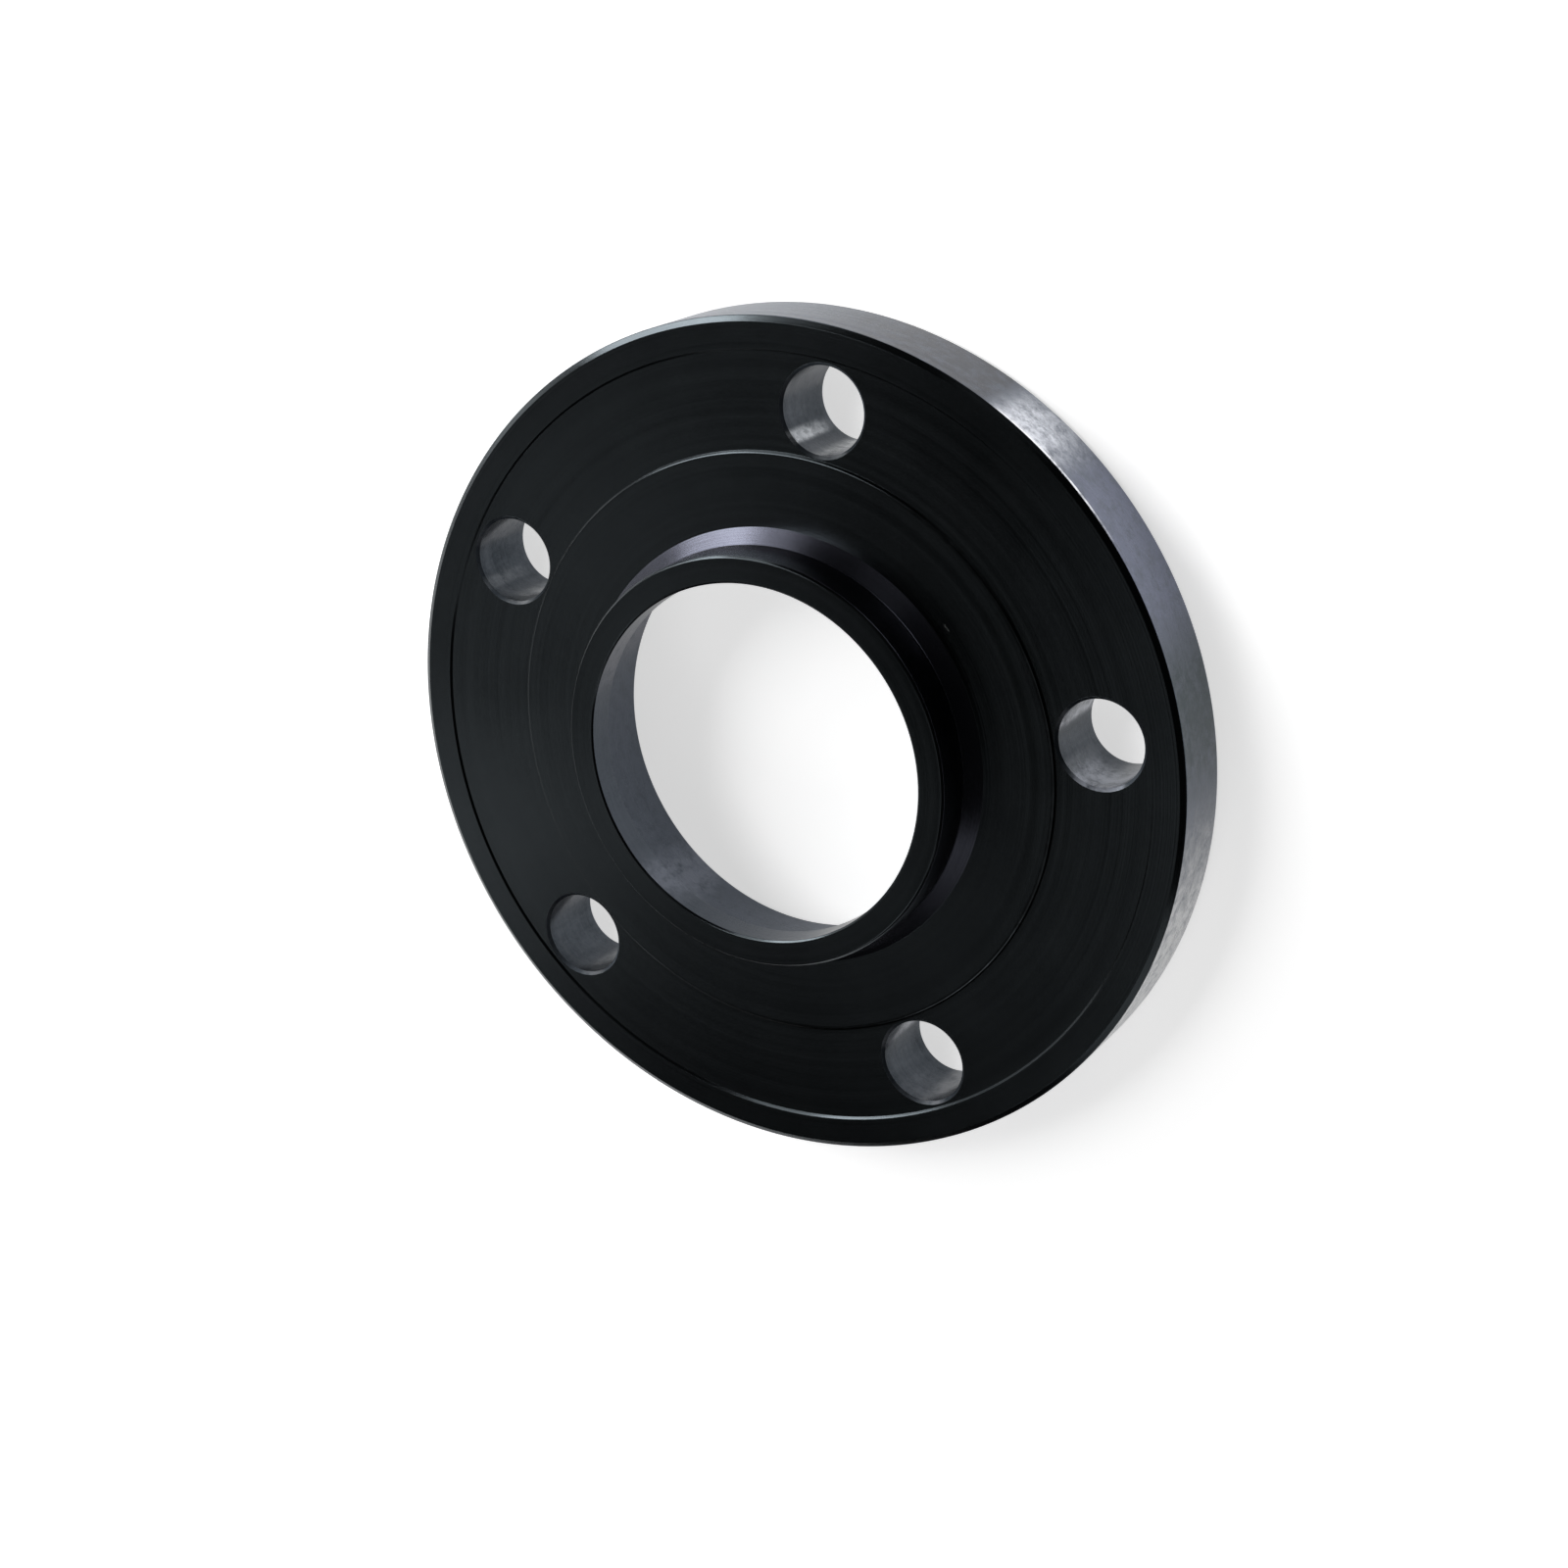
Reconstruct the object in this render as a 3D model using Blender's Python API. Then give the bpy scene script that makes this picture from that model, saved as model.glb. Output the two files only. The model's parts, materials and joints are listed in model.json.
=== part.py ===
"""Wheel spacer: a turned aluminium ring that goes between a car's hub and its wheel.

The hub face lies on z = 0 and the centring lip points up (+Z). The axis of the ring is the Z axis.
Every length is in metres.
"""

from math import cos, radians, sin, tau

import bmesh
import bpy

MM = 0.001

# Driving dimensions
SPACER_THICKNESS = 15.0 * MM  # hub face to wheel face
BOLT_COUNT = 5
BOLT_CIRCLE_DIAMETER = 120.0 * MM
BOLT_HOLE_DIAMETER = 15.0 * MM
CENTRE_BORE_DIAMETER = 72.6 * MM  # the size of the hub's spigot, and of the wheel's own bore

# Fits at the centre
HUB_BORE_CLEARANCE = 0.0 * MM  # on the radius, over the hub's spigot
LIP_CLEARANCE = 0.05 * MM  # on the radius, under the wheel's bore

# Centring lip, on the wheel side
LIP_HEIGHT = 9.7 * MM  # above the wheel face
LIP_WALL = 4.75 * MM
LIP_END_BREAK = 0.4 * MM  # outer edge of the lip's end
LIP_MOUTH_BREAK = 0.3 * MM  # inner edge of the lip's end
LIP_FOOT_WALL = 2.6 * MM  # wall between the hub bore and the foot of the flare
LIP_FLARE_HEIGHT = 2.15 * MM  # the cone that thickens the lip's root

# Hub bore, on the hub side
HUB_LEAD_IN = 3.5 * MM  # wide chamfer that clears the corner of the hub

# Shallow turned recess that the bolt holes stand in
RECESS_DEPTH = 0.4 * MM
RECESS_SLOPE_WIDTH = 0.35 * MM
RECESS_INNER_MARGIN = 0.15 * MM  # flat between the holes' mouths and the inner slope
RECESS_OUTER_MARGIN = 0.4 * MM  # the same, at the outer slope

# Bolt holes
HOLE_CHAMFER = 0.5 * MM
FIRST_HOLE_ANGLE = radians(90)  # on +Y

# Outer rim
OUTER_LAND_WIDTH = 4.5 * MM  # flat between the recess and the front chamfer
FRONT_CHAMFER_WIDTH = 1.0 * MM
FRONT_CHAMFER_HEIGHT = 0.6 * MM
BACK_CHAMFER = 1.0 * MM

# How round the round faces are
RING_SEGMENTS = 160
HOLE_SEGMENTS = 40
CUTTER_OVERRUN = 1.0 * MM  # how far a cutter goes past the faces that it cuts
MERGE_DISTANCE = 0.001 * MM  # corners closer than this are one corner
SHARP_ANGLE = radians(20)

# Black oxide
OXIDE_COLOUR = (0.022, 0.024, 0.027, 1.0)
OXIDE_ROUGHNESS = 0.38
OXIDE_METALLIC = 0.6

# Sizes that follow from those above
BOLT_CIRCLE_RADIUS = BOLT_CIRCLE_DIAMETER / 2
BOLT_HOLE_RADIUS = BOLT_HOLE_DIAMETER / 2
HOLE_MOUTH_RADIUS = BOLT_HOLE_RADIUS + HOLE_CHAMFER
HUB_BORE_RADIUS = CENTRE_BORE_DIAMETER / 2 + HUB_BORE_CLEARANCE
LIP_RADIUS = CENTRE_BORE_DIAMETER / 2 - LIP_CLEARANCE
LIP_INNER_RADIUS = LIP_RADIUS - LIP_WALL
LIP_FOOT_RADIUS = HUB_BORE_RADIUS + LIP_FOOT_WALL
LIP_TOP = SPACER_THICKNESS + LIP_HEIGHT
INNER_CONE_TOP = SPACER_THICKNESS + HUB_BORE_RADIUS - LIP_INNER_RADIUS  # a cone of 45 degrees
RECESS_FLOOR = SPACER_THICKNESS - RECESS_DEPTH
RECESS_INNER_RADIUS = BOLT_CIRCLE_RADIUS - HOLE_MOUTH_RADIUS - RECESS_INNER_MARGIN
RECESS_OUTER_RADIUS = BOLT_CIRCLE_RADIUS + HOLE_MOUTH_RADIUS + RECESS_OUTER_MARGIN
OUTER_LAND_RADIUS = RECESS_OUTER_RADIUS + RECESS_SLOPE_WIDTH + OUTER_LAND_WIDTH
OUTER_RADIUS = OUTER_LAND_RADIUS + FRONT_CHAMFER_WIDTH


def clear_scene():
    for obj in list(bpy.data.objects):
        bpy.data.objects.remove(obj, do_unlink=True)


def black_anodised():
    """Satin black oxide on turned aluminium."""
    material = bpy.data.materials.new("black_anodised_aluminium")
    material.use_nodes = True
    shader = material.node_tree.nodes["Principled BSDF"]
    shader.inputs["Base Color"].default_value = OXIDE_COLOUR
    shader.inputs["Roughness"].default_value = OXIDE_ROUGHNESS
    shader.inputs["Metallic"].default_value = OXIDE_METALLIC
    material.diffuse_color = OXIDE_COLOUR
    return material


def ring_section():
    """The ring's half section as (radius, height) points, once round from the foot of the rim."""
    rim = [
        (OUTER_RADIUS, BACK_CHAMFER),
        (OUTER_RADIUS, SPACER_THICKNESS - FRONT_CHAMFER_HEIGHT),
        (OUTER_LAND_RADIUS, SPACER_THICKNESS),
    ]
    recess = [
        (RECESS_OUTER_RADIUS + RECESS_SLOPE_WIDTH, SPACER_THICKNESS),
        (RECESS_OUTER_RADIUS, RECESS_FLOOR),
        (RECESS_INNER_RADIUS, RECESS_FLOOR),
        (RECESS_INNER_RADIUS - RECESS_SLOPE_WIDTH, SPACER_THICKNESS),
    ]
    lip_outside = [
        (LIP_FOOT_RADIUS, SPACER_THICKNESS),
        (LIP_RADIUS, SPACER_THICKNESS + LIP_FLARE_HEIGHT),
        (LIP_RADIUS, LIP_TOP - LIP_END_BREAK),
        (LIP_RADIUS - LIP_END_BREAK, LIP_TOP),
    ]
    lip_inside = [
        (LIP_INNER_RADIUS + LIP_MOUTH_BREAK, LIP_TOP),
        (LIP_INNER_RADIUS, LIP_TOP - LIP_MOUTH_BREAK),
        (LIP_INNER_RADIUS, INNER_CONE_TOP),
    ]
    hub_bore = [
        (HUB_BORE_RADIUS, SPACER_THICKNESS),
        (HUB_BORE_RADIUS, HUB_LEAD_IN),
        (HUB_BORE_RADIUS + HUB_LEAD_IN, 0.0),
    ]
    hub_face = [(OUTER_RADIUS - BACK_CHAMFER, 0.0)]
    return rim + recess + lip_outside + lip_inside + hub_bore + hub_face


def hole_section():
    """Half section of the tool that cuts one bolt hole: a shank that flares past both faces."""
    flare = HOLE_CHAMFER + CUTTER_OVERRUN
    return [
        (0.0, -CUTTER_OVERRUN),
        (BOLT_HOLE_RADIUS + flare, -CUTTER_OVERRUN),
        (BOLT_HOLE_RADIUS, HOLE_CHAMFER),
        (BOLT_HOLE_RADIUS, RECESS_FLOOR - HOLE_CHAMFER),
        (BOLT_HOLE_RADIUS + flare, RECESS_FLOOR + CUTTER_OVERRUN),
        (0.0, RECESS_FLOOR + CUTTER_OVERRUN),
    ]


def turned_mesh(name, section, segments, closed):
    """Spins a half section round the Z axis, as a lathe does."""
    shape = bmesh.new()
    corners = [shape.verts.new((radius, 0.0, height)) for radius, height in section]
    edges = [shape.edges.new(pair) for pair in zip(corners, corners[1:])]
    if closed:
        edges.append(shape.edges.new((corners[-1], corners[0])))
    bmesh.ops.spin(
        shape,
        geom=corners + edges,
        cent=(0.0, 0.0, 0.0),
        axis=(0.0, 0.0, 1.0),
        angle=tau,
        steps=segments,
        use_merge=True,
    )
    bmesh.ops.remove_doubles(shape, verts=shape.verts, dist=MERGE_DISTANCE)
    bmesh.ops.recalc_face_normals(shape, faces=shape.faces)
    mesh = bpy.data.meshes.new(name)
    shape.to_mesh(mesh)
    shape.free()
    return mesh


def add_object(name, mesh, collection):
    obj = bpy.data.objects.new(name, mesh)
    collection.objects.link(obj)
    return obj


def add_bolt_hole_cutters():
    """One cutter for each hole, evenly round the bolt circle."""
    cutters = bpy.data.collections.new("bolt_hole_cutters")
    bpy.context.scene.collection.children.link(cutters)
    mesh = turned_mesh("bolt_hole_cutter", hole_section(), HOLE_SEGMENTS, closed=False)
    for index in range(BOLT_COUNT):
        angle = FIRST_HOLE_ANGLE + index * tau / BOLT_COUNT
        cutter = add_object(f"bolt_hole_cutter_{index + 1}", mesh, cutters)
        cutter.location = (BOLT_CIRCLE_RADIUS * cos(angle), BOLT_CIRCLE_RADIUS * sin(angle), 0.0)
        cutter.rotation_euler.z = angle
        cutter.hide_render = True
        cutter.display_type = "WIRE"
    return cutters


def drill(obj, cutters):
    """Cuts the holes for good, so that the finished mesh can be shaded by its own edges."""
    holes = obj.modifiers.new("bolt_holes", "BOOLEAN")
    holes.operation = "DIFFERENCE"
    holes.solver = "EXACT"
    holes.operand_type = "COLLECTION"
    holes.collection = cutters
    graph = bpy.context.evaluated_depsgraph_get()
    drilled = bpy.data.meshes.new_from_object(obj.evaluated_get(graph))
    obj.modifiers.clear()
    obj.data = drilled


def shade_by_edges(mesh):
    mesh.shade_smooth()
    mesh.set_sharp_from_angle(angle=SHARP_ANGLE)


def build_spacer():
    ring = turned_mesh("wheel_spacer", ring_section(), RING_SEGMENTS, closed=True)
    ring.materials.append(black_anodised())
    spacer = add_object("wheel_spacer", ring, bpy.context.scene.collection)
    drill(spacer, add_bolt_hole_cutters())
    shade_by_edges(spacer.data)
    return spacer


clear_scene()
build_spacer()
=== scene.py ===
import json
import math

import bpy
from mathutils import Matrix, Vector

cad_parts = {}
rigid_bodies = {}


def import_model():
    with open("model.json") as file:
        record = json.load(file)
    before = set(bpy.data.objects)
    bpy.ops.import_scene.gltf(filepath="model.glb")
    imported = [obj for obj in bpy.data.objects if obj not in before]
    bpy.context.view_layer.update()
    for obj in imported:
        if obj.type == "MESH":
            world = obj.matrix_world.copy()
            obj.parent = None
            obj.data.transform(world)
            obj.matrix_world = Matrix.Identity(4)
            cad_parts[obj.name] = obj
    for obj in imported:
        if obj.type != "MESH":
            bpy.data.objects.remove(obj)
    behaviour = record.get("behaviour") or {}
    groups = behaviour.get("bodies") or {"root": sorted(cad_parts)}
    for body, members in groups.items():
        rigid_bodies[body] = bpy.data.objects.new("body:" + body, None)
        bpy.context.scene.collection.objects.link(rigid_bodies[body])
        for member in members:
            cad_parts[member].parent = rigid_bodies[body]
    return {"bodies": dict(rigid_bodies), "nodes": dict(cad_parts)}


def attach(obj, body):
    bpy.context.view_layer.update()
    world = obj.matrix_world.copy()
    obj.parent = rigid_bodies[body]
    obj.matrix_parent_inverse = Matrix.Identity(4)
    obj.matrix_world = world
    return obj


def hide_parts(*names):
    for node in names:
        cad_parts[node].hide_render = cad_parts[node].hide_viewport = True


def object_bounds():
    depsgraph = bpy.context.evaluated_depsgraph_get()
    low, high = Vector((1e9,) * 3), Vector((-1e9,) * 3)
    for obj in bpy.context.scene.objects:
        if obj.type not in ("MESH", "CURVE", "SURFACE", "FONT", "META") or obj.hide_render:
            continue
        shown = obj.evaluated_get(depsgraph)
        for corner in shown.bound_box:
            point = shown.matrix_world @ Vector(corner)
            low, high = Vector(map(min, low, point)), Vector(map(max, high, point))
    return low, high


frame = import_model()
mm = 0.001

for thing in list(bpy.data.objects):  # only the frame stays
    if thing not in [*frame["nodes"].values(), *frame["bodies"].values()]:
        bpy.data.objects.remove(thing)
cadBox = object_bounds()
print("frame loaded:", [round(side / mm, 2) for side in cadBox[1] - cadBox[0]], "mm")


class Wire:  # an output socket that can be added, multiplied and so on
    def __init__(self, graph, socket):
        self.graph = graph
        self.socket = socket

    def out(self, name):  # another output of the same node
        return Wire(self.graph, self.socket.node.outputs[name])

    def math(self, operation, *values):
        return self.graph.add("ShaderNodeMath", {"operation": operation}, dict(enumerate(values)))

    def ramp(self, start, end, low=0.0, high=1.0):  # a smooth step from one value to another
        return self.graph.add(
            "ShaderNodeMapRange",
            {"interpolation_type": "SMOOTHSTEP"},
            {0: self, 1: start, 2: end, 3: low, 4: high},
        )

    def __add__(self, other):
        return self.math("ADD", self, other)

    def __radd__(self, other):
        return self.math("ADD", other, self)

    def __sub__(self, other):
        return self.math("SUBTRACT", self, other)

    def __rsub__(self, other):
        return self.math("SUBTRACT", other, self)

    def __mul__(self, other):
        return self.math("MULTIPLY", self, other)

    def __rmul__(self, other):
        return self.math("MULTIPLY", other, self)

    def __truediv__(self, other):
        return self.math("DIVIDE", self, other)

    def __pow__(self, other):
        return self.math("POWER", self, other)

    def __abs__(self):
        return self.math("ABSOLUTE", self)

    def __lt__(self, other):
        return self.math("LESS_THAN", self, other)

    def __gt__(self, other):
        return self.math("GREATER_THAN", self, other)


class Graph:  # a node tree, with the methods that make its nodes
    def __init__(self, tree):
        self.tree = tree

    def add(self, kind, settings=None, sockets=None):
        node = self.tree.nodes.new(kind)
        for name, value in (settings or {}).items():
            if name == "items":
                while len(node.index_switch_items) < value:
                    node.index_switch_items.new()
            else:
                setattr(node, name, value)
        for name, value in (sockets or {}).items():
            if isinstance(value, Wire):
                self.tree.links.new(value.socket, node.inputs[name])
            else:
                node.inputs[name].default_value = value
        shown = [socket for socket in node.outputs if socket.enabled]
        return Wire(self, shown[0]) if shown else node

    def pick(self, kind, values):  # one value for each index, from a list
        index = self.add("GeometryNodeInputIndex")
        places = {str(i): value for i, value in enumerate(values)}
        return self.add(
            "GeometryNodeIndexSwitch",
            {"data_type": kind, "items": len(values)},
            {"Index": index, **places},
        )

    def blend(self, factor, first, second):  # two colours
        return self.add("ShaderNodeMix", {"data_type": "RGBA"}, {0: factor, 6: first, 7: second})

    def noise(self, place, settings):  # through space
        return self.add(
            "ShaderNodeTexNoise", {"noise_dimensions": "3D"}, {"Vector": place, **settings}
        )

    def noiseAlong(self, way, settings):  # along a line
        return self.add(
            "ShaderNodeTexNoise", {"noise_dimensions": "1D"}, {"W": way, "Scale": 1.0, **settings}
        )


def shaderGraph(owner):  # the empty node tree of a material or a world
    owner.use_nodes = True
    owner.node_tree.nodes.clear()
    return Graph(owner.node_tree)


def addObject(name, data):
    thing = bpy.data.objects.new(name, data)
    bpy.context.scene.collection.objects.link(thing)
    return thing


def across(x, y):  # distance from the axis
    return (x * x + y * y) ** 0.5


ringSizes = {  # millimetres
    "outer radius": (cadBox[1].x - cadBox[0].x) / 2 / mm,
    "thickness": 15.0,
    "lip end": cadBox[1].z / mm,
    "lip radius": 36.25,
    "lip inner radius": 31.5,
    "lip end break": 0.4,
    "lip mouth break": 0.3,
    "flare foot radius": 38.9,
    "flare height": 2.15,
    "hub bore radius": 36.3,
    "hub lead in": 3.5,
    "recess depth": 0.4,
    "recess inner radius": 51.85,
    "recess outer radius": 68.4,
    "slope width": 0.35,
    "land radius": 73.25,
    "front chamfer height": 0.6,
    "back chamfer": 1.0,
    "hole circle radius": 60.0,
    "hole radius": 7.5,
    "hole chamfer": 0.5,
    "tiny edge": 0.04,  # how round the edges are
    "small edge": 0.15,
    "soft edge": 0.3,
}
ringCounts = {"ring steps": 400, "hole steps": 96, "edge points": 4, "hole count": 5}
quarterTurn = math.tau / 4  # from +X to the first bolt hole, on +Y

patterns = {  # noise, with the scale per metre where it runs through space
    "grain": {"Scale": 5200.0, "Detail": 2.0, "Roughness": 0.6},
    "cloud": {"Scale": 70.0, "Detail": 4.0, "Roughness": 0.6},
    "streaks": {"Scale": 420.0, "Detail": 3.0, "Roughness": 0.6},
    "blotches": {"Scale": 450.0, "Detail": 3.0, "Roughness": 0.6},
    "speckle": {"Scale": 1500.0, "Detail": 3.0, "Roughness": 0.7},
    "grooves": {"Detail": 3.0, "Roughness": 0.75},
    "bands": {"Detail": 2.0, "Roughness": 0.5},
}
feed = {"grooves": 4.0, "bands": 0.55, "bandStart": 7.0}  # noise along the lathe's feed, per mm
streakSquash = (1.0, 1.0, 0.10)  # draws the streaks out along the axis
noiseMiddle = 0.5

faceLook = {  # black oxide on the faces that a lathe cut across
    "colour": (0.037, 0.043, 0.047),
    "paleColour": (0.052, 0.060, 0.065),
    "roughness": 0.175,
    "roughnessSpread": 0.05,
    "bandRoughness": 1.4,
    "grainRoughness": 0.5,
    "stretch": 0.15,  # how far a highlight is drawn out across the marks
    "grooveDepth": 0.010,  # millimetres
    "grainDepth": 0.004,
    "streakDepth": 0.0,
    "streakTone": 0.0,
    "speckleTone": 0.2,
    "cloudTone": 1.2,
    "bandTone": 0.8,
    "marks": ("nick", "recess painted shade"),
}
lipLook = {
    **faceLook,
    "colour": (0.047, 0.049, 0.063),
    "paleColour": (0.068, 0.071, 0.090),
    "roughness": 0.245,
    "stretch": 0.3,
    "grooveDepth": 0.020,
    "marks": (),
}
rimLook = {  # the rim, cut along the axis
    **faceLook,
    "colour": (0.084, 0.097, 0.122),
    "paleColour": (0.130, 0.147, 0.184),
    "roughness": 0.28,
    "roughnessSpread": 0.08,
    "stretch": 0.6,
    "grooveDepth": 0.005,
    "grainDepth": 0.006,
    "streakDepth": 0.003,
    "streakTone": 0.5,
    "speckleTone": 0.5,
    "marks": (
        "rim front sheen",
        "rim side highlight",
        "rim painted shade",
        "rim painted shade far",
        "rim highlight",
        "rim corner highlight",
        "rim edge glint",
    ),
}
# the rim's finish in a darker copy: painted shade in the bore
boreLook = {
    **rimLook,
    "colour": (0.051, 0.061, 0.075),
    "paleColour": (0.080, 0.091, 0.110),
    "marks": ("hub bore", "bore sheen", "bore sheen far", "bore sheen near"),
}
holeLook = {  # drilled, with the tool's drag marks down the wall
    **rimLook,
    "colour": (0.034, 0.043, 0.053),
    "paleColour": (0.108, 0.122, 0.142),
    "grooveDepth": 0.010,
    "streakDepth": 0.010,
    "streakTone": 0.9,
    "speckleTone": 0.9,
    "cloudTone": 1.9,
    "marks": (
        "bolt front",
        "bolt side",
        "bolt back",
        "bolt heel",
        "bolt thread",
        "bolt shank",
    ),
}
mouthDullAndShade = {  # chamfers of the bolt holes: rougher, and darkened with painted shade
    "colour": (0.020, 0.024, 0.028, 1.0),
    "share": 0.3,
    "innerShare": 0.6,  # more painted shade, added on the side of the lip
    "innerReach": (52.5, 57.0),  # millimetres from the ring's axis, full to none
    "roughness": 0.4,
}

rimReach = (73, 75)
boreReach = (31, 37)
holeReach = (0, 9)
marksAndPaintedLight = {  # a nick, and places of painted highlight and painted shade: degrees round an axis, fades at both ends, mm from the axis
    "nick": {
        "span": (262.3, 264.6), "fades": (0.3, 0.3), "reach": (40.90, 41.18),
        "colour": (0.90, 0.95, 0.92),
    },
    # painted shade: darkens the inner slope of the recess round one half of the ring
    "recess painted shade": {
        "span": (112, 292), "fades": (30, 9), "reach": (51.0, 51.95),
        "colour": (0.023, 0.026, 0.028),
    },
    # painted sheen: a lighter, bluish stretch of the rim
    "rim front sheen": {
        "span": (241, 278), "fades": (14, 14), "reach": rimReach,
        "colour": (0.150, 0.165, 0.225),
    },
    # painted highlight: a bright stretch of the rim
    "rim side highlight": {
        "span": (174, 228), "fades": (14, 24), "reach": rimReach,
        "colour": (0.54, 0.542, 0.55),
    },
    # painted shade: a darker stretch of the rim
    "rim painted shade": {
        "span": (222, 250), "fades": (12, 12), "reach": rimReach,
        "colour": (0.050, 0.066, 0.076),
    },
    # painted shade: another darker stretch of the rim
    "rim painted shade far": {
        "span": (282, 318), "fades": (4, 22), "reach": rimReach,
        "colour": (0.070, 0.074, 0.086),
    },
    # painted highlight across the rim, repeated three times round it
    "rim highlight": {
        "span": (268.5, 284.5), "fades": (9, 6), "reach": rimReach, "height": (-9, 15, 22),
        "colour": (0.66, 0.68, 0.74), "count": 3,
    },
    # painted glint along the rim's front edge, three times round
    "rim edge glint": {
        "span": (258, 282.2), "fades": (11, 2), "reach": rimReach, "height": (13.85, 14.6, 0.01),
        "colour": (0.92, 0.93, 0.97), "count": 3,
    },
    # painted highlight on the rim just below its front chamfer, three times round
    "rim corner highlight": {
        "span": (270, 283), "fades": (8, 4), "reach": rimReach, "height": (12.2, 14.6, 2.2),
        "colour": (0.80, 0.81, 0.86), "count": 3,
    },
    # painted light: lifts the deeper part of the bore back towards the rim's colour, against the
    # shade deep in the ring
    "hub bore": {
        "span": (-109.9, 249.9), "fades": (1, 1), "reach": (34, 37), "height": (0, 16, 0.01),
        "colour": (0.082, 0.094, 0.116),
    },
    # painted highlights: lighter stretches down the bore wall
    "bore sheen": {
        "span": (84, 110), "fades": (12, 12), "reach": boreReach,
        "colour": (0.140, 0.154, 0.186),
    },
    "bore sheen far": {
        "span": (150, 192), "fades": (16, 8), "reach": boreReach,
        "colour": (0.170, 0.172, 0.176),
    },
    "bore sheen near": {
        "span": (-4, 32), "fades": (16, 10), "reach": boreReach,
        "colour": (0.116, 0.122, 0.142),
    },
    # painted highlights: lighter streaks down the walls of the bolt holes, all facing one way
    "bolt front": {
        "span": (-6, 38), "fades": (16, 14), "reach": holeReach,
        "colour": (0.120, 0.128, 0.142),
    },
    "bolt side": {
        "span": (-6, 40), "fades": (20, 12), "reach": holeReach,
        "colour": (0.50, 0.515, 0.56), "hole": 204,
    },
    "bolt back": {
        "span": (124, 176), "fades": (20, 20), "reach": holeReach,
        "colour": (0.190, 0.198, 0.210),
    },
    "bolt heel": {
        "span": (112, 173), "fades": (24, 20), "reach": holeReach,
        "colour": (0.56, 0.575, 0.59), "hole": 320,
    },
    "bolt thread": {
        "span": (84, 172), "fades": (23, 12), "reach": holeReach, "height": (1, 15, 10),
        "colour": (0.37, 0.39, 0.44), "hole": 234,
    },
    "bolt shank": {
        "span": (72, 99), "fades": (12, 9), "reach": holeReach, "height": (-1, 15, 13),
        "colour": (0.70, 0.73, 0.77), "hole": 306,
    },
}
wearAndPaintedLight = {"blotches": 2.8, "speckle": 1.6, "threshold": 1.35}  # how unevenly a mark is spread, for the nick and for the painted highlights and shade alike
paintedLightFocus = 1.8  # how quickly the painted highlight falls off from the brightest hole to the others


def rubbed(mark, x, y, height, unevenness):  # how far one place round an axis is covered by a mark, 0 to 1
    start, end = mark["span"]
    middle, half = math.radians(start + end) / 2, (end - start) / 2
    ahead = x * math.cos(middle) + y * math.sin(middle)
    aside = y * math.cos(middle) - x * math.sin(middle)
    turn = ahead.math("ARCTAN2", aside, ahead) * math.degrees(1.0)
    sector = 180.0 / mark.get("count", 1)
    turn = turn.math("WRAP", turn, sector, -sector)
    rise = turn.ramp(-half, mark["fades"][0] - half)
    fall = turn.ramp(half - mark["fades"][1], half, 1.0, 0.0)
    distance = across(x, y)
    near, far = mark["reach"]
    share = rise * fall * (distance > near) * (distance < far) * unevenness
    if "height" in mark:
        low, high, fade = mark["height"]
        share = share * (height < high) * height.ramp(low, low + fade)
    return share


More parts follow.
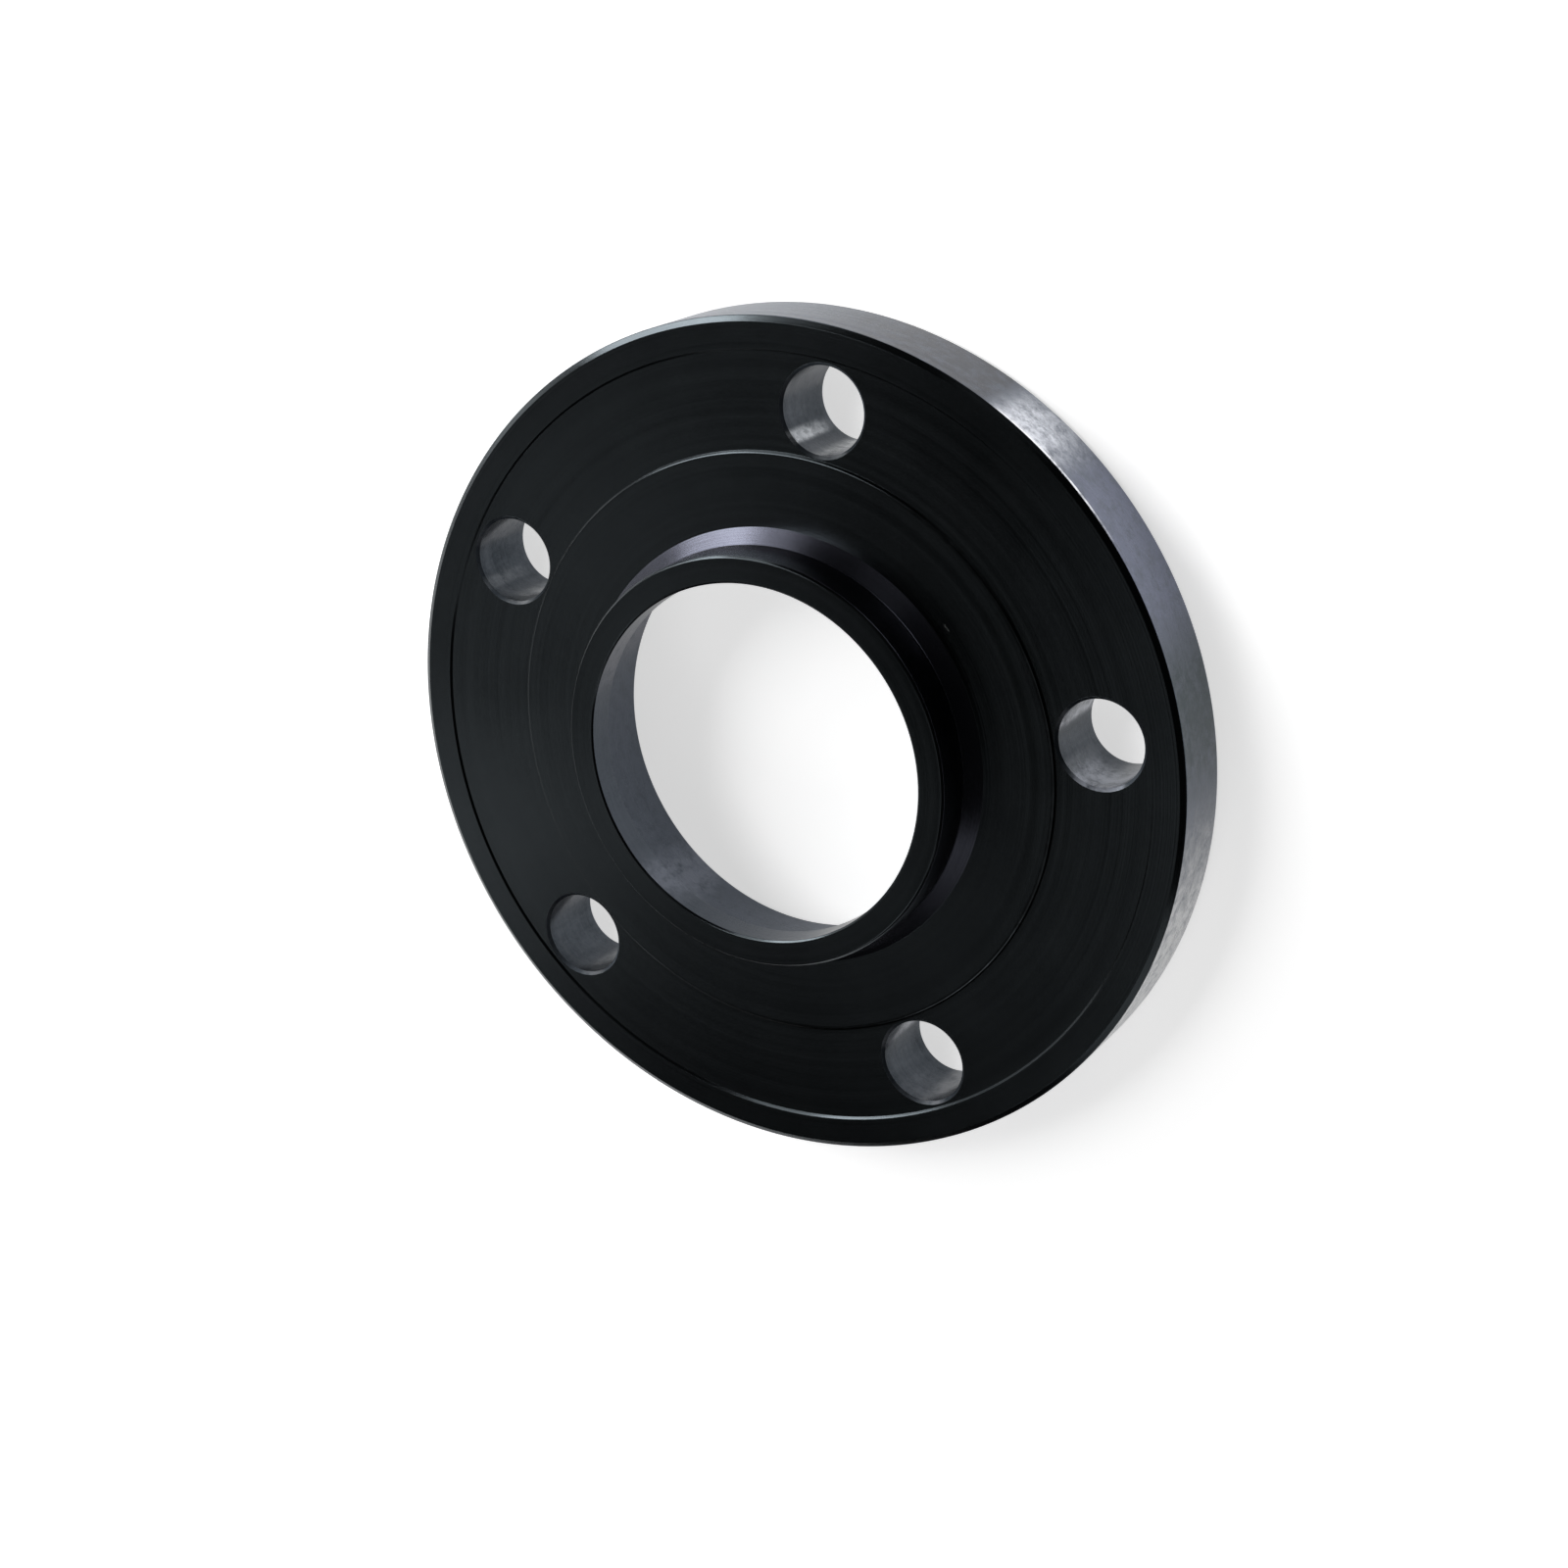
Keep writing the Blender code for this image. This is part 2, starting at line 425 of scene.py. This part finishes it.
def anodised(name, look, marksAlong):
    material = bpy.data.materials.new(name)
    graph = shaderGraph(material)
    place = graph.add("ShaderNodeTexCoord").out("Object")
    split = graph.add("ShaderNodeSeparateXYZ", None, {"Vector": place})
    x, y, z = split.out("X"), split.out("Y"), split.out("Z")
    radius = across(x, y) / mm
    height = z / mm
    along = radius if marksAlong == "radius" else height
    squashed = graph.add(
        "ShaderNodeVectorMath", {"operation": "MULTIPLY"}, {0: place, 1: streakSquash}
    )

    grain = graph.noise(place, patterns["grain"])
    cloud = graph.noise(place, patterns["cloud"])
    streaks = graph.noise(squashed, patterns["streaks"])
    blotches = graph.noise(place, patterns["blotches"])
    speckle = graph.noise(place, patterns["speckle"])
    grooves = graph.noiseAlong(along * feed["grooves"], patterns["grooves"])
    bands = graph.noiseAlong(along * feed["bands"] + feed["bandStart"], patterns["bands"])

    relief = (
        grooves * look["grooveDepth"] + grain * look["grainDepth"] + streaks * look["streakDepth"]
    )
    bump = graph.add("ShaderNodeBump", None, {"Strength": 1.0, "Distance": mm, "Height": relief})
    tone = (
        (cloud - noiseMiddle) * look["cloudTone"]
        + (bands - noiseMiddle) * look["bandTone"]
        + (streaks - noiseMiddle) * look["streakTone"]
        + (speckle - noiseMiddle) * look["speckleTone"]
        + 0.5
    )
    colour = graph.blend(tone, (*look["colour"], 1.0), (*look["paleColour"], 1.0))
    uneven = blotches * wearAndPaintedLight["blotches"] + speckle * wearAndPaintedLight["speckle"] - wearAndPaintedLight["threshold"]

    markX, markY = x / mm, y / mm
    dull = 0.0
    if marksAlong == "hole":  # measured from the axis of the nearest bolt hole
        turn = math.tau / ringCounts["hole count"]
        around = x.math("ARCTAN2", y, x)
        nearest = x.math("ROUND", (around - quarterTurn) / turn) * turn + quarterTurn
        markX = markX - x.math("COSINE", nearest) * ringSizes["hole circle radius"]
        markY = markY - x.math("SINE", nearest) * ringSizes["hole circle radius"]
        recessFloor = ringSizes["thickness"] - ringSizes["recess depth"]
        dull = height > recessFloor - ringSizes["hole chamfer"]
    # the nick is worn bare metal; the other marks are painted highlights and painted shade
    for mark in [marksAndPaintedLight[name] for name in look["marks"]]:
        share = rubbed(mark, markX, markY, height, uneven)
        if "hole" in mark:  # the direction of the hole whose painted highlight is strongest
            aimed = x.math("COSINE", nearest - math.radians(mark["hole"]))
            share = share * x.math("MAXIMUM", aimed, 0.0) ** paintedLightFocus
        colour = graph.blend(share, colour, (*mark["colour"], 1.0))
    # painted shade on the chamfers of the bolt holes, most towards the lip
    if marksAlong == "hole":
        inner = radius.ramp(*mouthDullAndShade["innerReach"], mouthDullAndShade["innerShare"], 0.0)
        colour = graph.blend(dull * (inner + mouthDullAndShade["share"]), colour, mouthDullAndShade["colour"])
    unsteady = (
        (cloud - noiseMiddle)
        + (bands - noiseMiddle) * look["bandRoughness"]
        + (grain - noiseMiddle) * look["grainRoughness"]
    )
    rough = look["roughness"] + unsteady * look["roughnessSpread"] + dull * mouthDullAndShade["roughness"]
    shader = graph.add(
        "ShaderNodeBsdfPrincipled",
        None,
        {
            "Base Color": colour,
            "Roughness": rough,
            "Metallic": 1.0,
            "Anisotropic": look["stretch"],
            "Anisotropic Rotation": 0.25,
            "Normal": bump,
        },
    )
    graph.add("ShaderNodeOutputMaterial", None, {"Surface": shader})
    return material


toolOverrun = 1.0 * mm  # how far the drill goes past the faces
mouthLift = 0.2  # share of the tiny edge by which the drill's corners miss the face that they cut
mergeDistance = 0.001 * mm
facingLimits = {"steep": 0.5, "hole": 0.9, "flat": 0.9999}  # how far up a face looks, 1 for flat


def sectionCurve(graph, corners, carrier, edgePoints, closed=True):
    places = [  # half section, each corner with its own radius
        graph.add("ShaderNodeCombineXYZ", None, {"X": r - carrier, "Y": -1.0 * z})
        for r, z, edge in corners
    ]
    points = graph.add(
        "GeometryNodePoints",
        None,
        {"Count": len(corners), "Position": graph.pick("VECTOR", places)},
    )
    line = graph.add("GeometryNodePointsToCurves", None, {"Points": points})
    loop = graph.add("GeometryNodeSetSplineCyclic", None, {"Geometry": line, "Cyclic": closed})
    rounding = graph.pick("FLOAT", [edge for r, z, edge in corners])
    return graph.add(
        "GeometryNodeFilletCurve",
        {"mode": "POLY"},
        {"Curve": loop, "Count": edgePoints, "Radius": rounding, "Limit Radius": True},
    )


def circle(graph, resolution, radius):
    return graph.add(
        "GeometryNodeCurvePrimitiveCircle",
        {"mode": "RADIUS"},
        {"Resolution": resolution, "Radius": radius},
    )


def turned(graph, section, carrier, steps):  # spins a section round the Z axis
    path = circle(graph, steps, carrier)
    skin = graph.add("GeometryNodeCurveToMesh", None, {"Curve": path, "Profile Curve": section})
    return graph.add("GeometryNodeFlipFaces", None, {"Mesh": skin})  # so that they point outwards


def ringTree(faceFinish, lipFinish, rimFinish, boreFinish, holeFinish):
    tree = bpy.data.node_groups.new("turnedRing", "GeometryNodeTree")
    tree.interface.new_socket("Geometry", in_out="OUTPUT", socket_type="NodeSocketGeometry")
    for name in ringSizes:
        tree.interface.new_socket(name, in_out="INPUT", socket_type="NodeSocketFloat")
    for name in ringCounts:
        tree.interface.new_socket(name, in_out="INPUT", socket_type="NodeSocketInt")
    graph = Graph(tree)
    given = tree.nodes.new("NodeGroupInput")
    s = {name: Wire(graph, given.outputs[name]) for name in [*ringSizes, *ringCounts]}

    tiny, small, soft = s["tiny edge"], s["small edge"], s["soft edge"]
    top = s["thickness"]
    floor = top - s["recess depth"]
    corners = [
        (s["outer radius"], s["back chamfer"], small),
        (s["outer radius"], top - s["front chamfer height"], soft),
        (s["land radius"], top, tiny),
        (s["recess outer radius"] + s["slope width"], top, tiny),
        (s["recess outer radius"], floor, tiny),
        (s["recess inner radius"], floor, tiny),
        (s["recess inner radius"] - s["slope width"], top, soft),
        (s["flare foot radius"], top, tiny),
        (s["lip radius"], top + s["flare height"], soft),
        (s["lip radius"], s["lip end"] - s["lip end break"], small),
        (s["lip radius"] - s["lip end break"], s["lip end"], small),
        (s["lip inner radius"] + s["lip mouth break"], s["lip end"], small),
        (s["lip inner radius"], s["lip end"] - s["lip mouth break"], small),
        (s["lip inner radius"], top + s["hub bore radius"] - s["lip inner radius"], small),
        (s["hub bore radius"], top, small),
        (s["hub bore radius"], s["hub lead in"], small),
        (s["hub bore radius"] + s["hub lead in"], 0.0, small),
        (s["outer radius"] - s["back chamfer"], 0.0, small),
    ]
    ringSection = sectionCurve(graph, corners, s["outer radius"], s["edge points"])
    ringBlank = turned(graph, ringSection, s["outer radius"], s["ring steps"])

    mouth = s["hole radius"] + s["hole chamfer"]
    lift = tiny * mouthLift
    shank = [
        (0.0, -toolOverrun, 0.0),
        (mouth + tiny, -toolOverrun, 0.0),
        (mouth + tiny, lift, 0.0),
        (mouth, lift * -1.0, tiny),
        (s["hole radius"], s["hole chamfer"], small),
        (s["hole radius"], floor - s["hole chamfer"], tiny),
        (mouth, floor + lift, tiny),
        (mouth + tiny, floor - lift, 0.0),
        (mouth + tiny, top + toolOverrun, 0.0),
        (0.0, top + toolOverrun, 0.0),
    ]
    shankSection = sectionCurve(graph, shank, s["hole radius"], s["edge points"], closed=False)
    tool = turned(graph, shankSection, s["hole radius"], s["hole steps"])
    tool = graph.add(
        "GeometryNodeMergeByDistance", None, {"Geometry": tool, "Distance": mergeDistance}
    )
    boltCircle = graph.add(
        "GeometryNodeTransform",
        None,
        {
            "Geometry": circle(graph, s["hole count"], s["hole circle radius"]),
            "Rotation": (0.0, 0.0, quarterTurn),
        },
    )
    spots = graph.add("GeometryNodeCurveToPoints", {"mode": "EVALUATED"}, {"Curve": boltCircle})
    tools = graph.add("GeometryNodeInstanceOnPoints", None, {"Points": spots, "Instance": tool})
    tools = graph.add("GeometryNodeRealizeInstances", None, {"Geometry": tools})
    drilled = graph.add(
        "GeometryNodeMeshBoolean",
        {"operation": "DIFFERENCE", "solver": "EXACT"},
        {"Mesh 1": ringBlank, "Mesh 2": tools},
    )

    normal = graph.add("GeometryNodeInputNormal")
    facing = abs(graph.add("ShaderNodeSeparateXYZ", None, {"Vector": normal}).out("Z"))
    position = graph.add("GeometryNodeInputPosition")
    place = graph.add("ShaderNodeSeparateXYZ", None, {"Vector": position})
    radius = across(place.out("X"), place.out("Y"))
    steep = facing < facingLimits["steep"]
    inside = steep * (radius < s["lip radius"] + small)
    lipOutside = (place.out("Z") > top + tiny) * (radius > s["lip radius"] - small)
    inRecess = (
        (radius > s["recess inner radius"] + small) * (radius < s["recess outer radius"] - small)
    )
    inHole = (facing < facingLimits["hole"]) * inRecess
    curved = facing < facingLimits["flat"]  # the flat faces keep their own normal
    result = graph.add(
        "GeometryNodeSetShadeSmooth",
        {"domain": "FACE"},
        {"Geometry": drilled, "Shade Smooth": curved},
    )
    result = graph.add("GeometryNodeRealizeInstances", None, {"Geometry": result})
    for chosen, finish in [
        (True, faceFinish),
        (steep, rimFinish),
        (inside, boreFinish),
        (lipOutside, lipFinish),
        (inHole, holeFinish),
    ]:
        result = graph.add(
            "GeometryNodeSetMaterial",
            None,
            {"Geometry": result, "Selection": chosen, "Material": finish},
        )
    end = tree.nodes.new("NodeGroupOutput")
    tree.links.new(result.socket, end.inputs[0])
    return tree


def buildRing():
    finishes = [
        anodised("blackTurnedFace", faceLook, "radius"),
        anodised("blackTurnedLip", lipLook, "height"),
        anodised("blackTurnedRim", rimLook, "height"),
        anodised("blackTurnedBore", boreLook, "height"),
        anodised("blackDrilledHole", holeLook, "hole"),
    ]
    ring = addObject("turned_ring", bpy.data.meshes.new("turned_ring"))
    lathe = ring.modifiers.new("turnedRing", "NODES")
    lathe.node_group = ringTree(*finishes)
    given = {**{name: size * mm for name, size in ringSizes.items()}, **ringCounts}
    for item in lathe.node_group.interface.items_tree:
        if item.in_out == "INPUT":
            lathe[item.identifier] = given[item.name]
    level = ring.modifiers.new("levelNormals", "WEIGHTED_NORMAL")
    level.mode = "FACE_AREA"
    level.weight = 100  # the large faces decide
    level.keep_sharp = True
    graph = bpy.context.evaluated_depsgraph_get()
    made = bpy.data.meshes.new_from_object(ring.evaluated_get(graph))
    ring.modifiers.clear()
    ring.data = made
    made.name = "turned_ring"
    for index in reversed(range(len(made.materials))):  # the drilling leaves an empty slot
        if made.materials[index] is None:
            made.materials.pop(index=index)
    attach(ring, "root")
    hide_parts("wheel_spacer")
    made.calc_loop_triangles()
    print("ring turned and drilled:", len(made.loop_triangles), "triangles,", made.materials.keys())


buildRing()

cameraPlace = {
    "location": (-48.783, -260.300, 397.970),  # millimetres
    "aim": (-5.155, 3.619, 15.0),
    "roll": -121.630,  # degrees about the line of sight
    "lens": 62.345,
    "sensor": 36.0,
    "clip": (0.01, 50.0),  # metres
}


def addCamera():
    data = bpy.data.cameras.new("camera")
    data.lens = cameraPlace["lens"]
    data.sensor_width = cameraPlace["sensor"]
    data.clip_start, data.clip_end = cameraPlace["clip"]
    camera = addObject("camera", data)
    location = Vector(cameraPlace["location"]) * mm
    sight = Vector(cameraPlace["aim"]) * mm - location
    level = sight.to_track_quat("-Z", "Y").to_matrix().to_4x4()
    roll = Matrix.Rotation(math.radians(cameraPlace["roll"]), 4, "Z")
    camera.matrix_world = Matrix.Translation(location) @ level @ roll
    bpy.context.scene.camera = camera


addCamera()

floorLook = {"size": 1.8, "colour": (0.82, 0.82, 0.82), "seenGlow": 0.62, "mirroredGlow": 0.55}


def addFloor():
    half = floorLook["size"] / 2
    corners = [(-half, -half, 0), (half, -half, 0), (half, half, 0), (-half, half, 0)]
    mesh = bpy.data.meshes.new("floor")
    mesh.from_pydata(corners, [], [(0, 1, 2, 3)])
    floor = addObject("floor", mesh)
    material = bpy.data.materials.new("paleFloor")
    graph = shaderGraph(material)
    path = graph.add("ShaderNodeLightPath")
    seen = path.out("Is Camera Ray") * floorLook["seenGlow"]
    mirrored = path.out("Is Glossy Ray") * floorLook["mirroredGlow"]
    paint = graph.add("ShaderNodeBsdfDiffuse", None, {"Color": (*floorLook["colour"], 1.0)})
    glow = graph.add(
        "ShaderNodeEmission", None, {"Color": (1.0, 1.0, 1.0, 1.0), "Strength": seen + mirrored}
    )
    both = graph.add("ShaderNodeAddShader", None, {0: paint, 1: glow})
    graph.add("ShaderNodeOutputMaterial", None, {"Surface": both})
    mesh.materials.append(material)


addFloor()

lamps = {  # direction in degrees, size in metres, light in watts
    "ceiling": {"azimuth": 10.0, "height": 54.0, "size": (0.6, 0.7), "watts": 8.6},
    "ceilingBack": {"azimuth": 150.0, "height": 68.0, "size": (1.1, 1.0), "watts": 1.5},
    "key": {"azimuth": 8.0, "height": 34.0, "size": (0.6, 0.28), "watts": 3.4},
    "keyLow": {"azimuth": 5.0, "height": 20.0, "size": (0.6, 0.55), "watts": 8.3},
    "keyEdge": {"azimuth": 348.0, "height": 24.0, "size": (0.6, 0.35), "watts": 1.6},
    "keyFloor": {"azimuth": 346.0, "height": 9.0, "size": (0.9, 0.2), "watts": 1.1},
    "frontHigh": {"azimuth": 298.0, "height": 43.0, "size": (0.5, 0.25), "watts": 0.09},
    "front": {"azimuth": 277.0, "height": 13.0, "size": (0.7, 0.2), "watts": 1.4},
    "sideGap": {"azimuth": 20.0, "height": 9.0, "size": (0.35, 0.25), "watts": 0.42},
    "sideNear": {"azimuth": 38.0, "height": 10.0, "size": (0.6, 0.3), "watts": 1.2},
    "side": {"azimuth": 70.0, "height": 8.0, "size": (1.2, 0.37), "watts": 2.0},
    "sideFar": {"azimuth": 100.0, "height": 11.0, "size": (0.6, 0.35), "watts": 0.5},
    "sideHigh": {"azimuth": 66.0, "height": 36.0, "size": (0.4, 0.2), "watts": 0.32},
    "panelLow": {"azimuth": 76.0, "height": 44.0, "size": (0.2, 0.2), "watts": 0.112},
    "panel": {"azimuth": 72.0, "height": 51.0, "size": (0.2, 0.2), "watts": 0.023},
    "panelNear": {"azimuth": 64.0, "height": 52.0, "size": (0.2, 0.2), "watts": 0.050},
    "panelTop": {"azimuth": 65.0, "height": 58.0, "size": (0.2, 0.2), "watts": 0.022},
    "panelHigh": {"azimuth": 80.0, "height": 50.0, "size": (0.2, 0.2), "watts": 0.030},
    "panelFar": {"azimuth": 85.0, "height": 53.0, "size": (0.2, 0.2), "watts": 0.011},
    "panelPatch": {"azimuth": 90.0, "height": 56.0, "size": (0.12, 0.12), "watts": 0.011},
    "panelEnd": {"azimuth": 99.0, "height": 58.0, "size": (0.25, 0.25), "watts": 0.012},
    "left": {"azimuth": 165.0, "height": 30.0, "size": (0.8, 0.4), "watts": 0.6},
    "leftHigh": {"azimuth": 130.0, "height": 45.0, "size": (0.5, 0.4), "watts": 1.6},
}
lampDistance = 1.5  # metres from the ring
roomLight = 0.012  # all round, behind the lamps


def addLamps():
    for name, lamp in lamps.items():
        data = bpy.data.lights.new(name, "AREA")
        data.shape = "RECTANGLE"
        data.size, data.size_y = lamp["size"]
        data.energy = lamp["watts"]
        light = addObject(name, data)
        around, up = math.radians(lamp["azimuth"]), math.radians(lamp["height"])
        level = math.cos(up)
        away = Vector((math.cos(around) * level, math.sin(around) * level, math.sin(up)))
        turn = away.to_track_quat("Z", "Y").to_matrix().to_4x4()
        light.matrix_world = Matrix.Translation(away * lampDistance) @ turn


def addRoom():
    world = bpy.data.worlds.new("studio")
    bpy.context.scene.world = world
    graph = shaderGraph(world)
    path = graph.add("ShaderNodeLightPath")
    strength = path.math("MAXIMUM", roomLight, path.out("Is Camera Ray"))
    background = graph.add(
        "ShaderNodeBackground", None, {"Color": (1.0, 1.0, 1.0, 1.0), "Strength": strength}
    )
    graph.add("ShaderNodeOutputWorld", None, {"Surface": background})


addLamps()
addRoom()
bpy.context.scene.view_settings.view_transform = "Standard"
